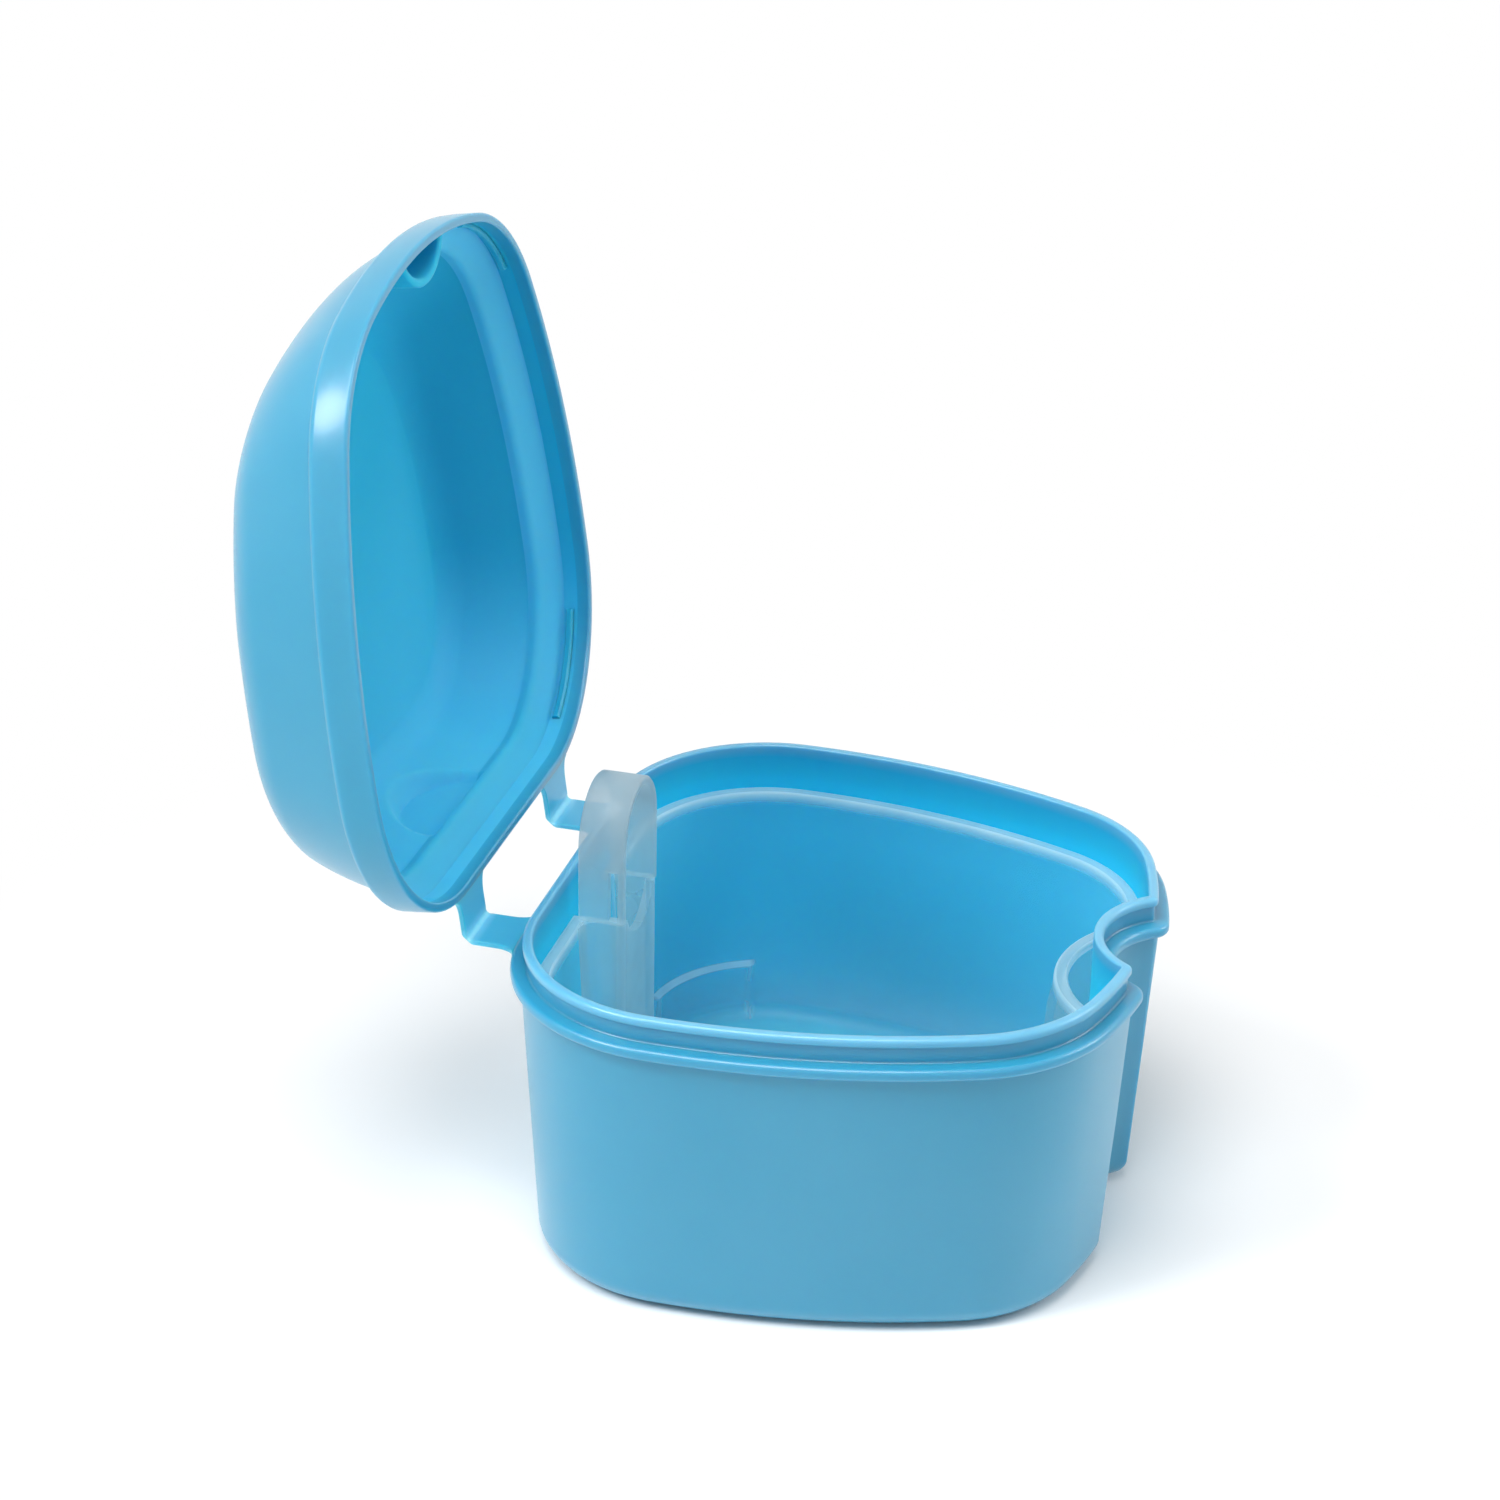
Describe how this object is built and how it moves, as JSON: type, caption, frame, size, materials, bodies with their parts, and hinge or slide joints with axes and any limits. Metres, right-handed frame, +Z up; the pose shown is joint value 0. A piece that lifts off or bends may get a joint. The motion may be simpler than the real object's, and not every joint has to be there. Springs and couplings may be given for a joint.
{
  "type": "denture case",
  "caption": "Denture soaking box: rounded tub with a thumb notch, domed lid on two folding straps, and a lift-out strainer basket with a tall loop handle.",
  "frame": {"origin": "middle of the flat bottom of the tub, half way between the front and the back of its lip", "axes": "+X to the right along the hinge line, +Y towards the hinge (the thumb notch faces -Y), +Z up; the lid is drawn open"},
  "size_m": [0.095, 0.128, 0.1411],
  "materials": {
    "blue_shell": "satin",
    "blue_strap": "satin",
    "frosted_basket": "frosted"
  },
  "bodies": {
    "case": {"tub": "blue_shell", "strap_left_lower": "blue_strap", "strap_right_lower": "blue_strap", "fold_left": "blue_strap", "fold_right": "blue_strap"},
    "cover": {"lid": "blue_shell", "strap_left_upper": "blue_strap", "strap_right_upper": "blue_strap"},
    "strainer": {"basket": "frosted_basket", "handle": "frosted_basket"}
  },
  "joints": [
    {"name": "lid_hinge", "type": "hinge", "parent": "case", "child": "cover", "pos_m": [0, 0.0514, 0.0451], "axis": [-1, 0, 0], "range_deg": [-97.6, 75]},
    {"name": "basket_lift", "type": "slide", "parent": "case", "child": "strainer", "axis": [0, 0, 1], "range_m": [0, 0.085]}
  ]
}
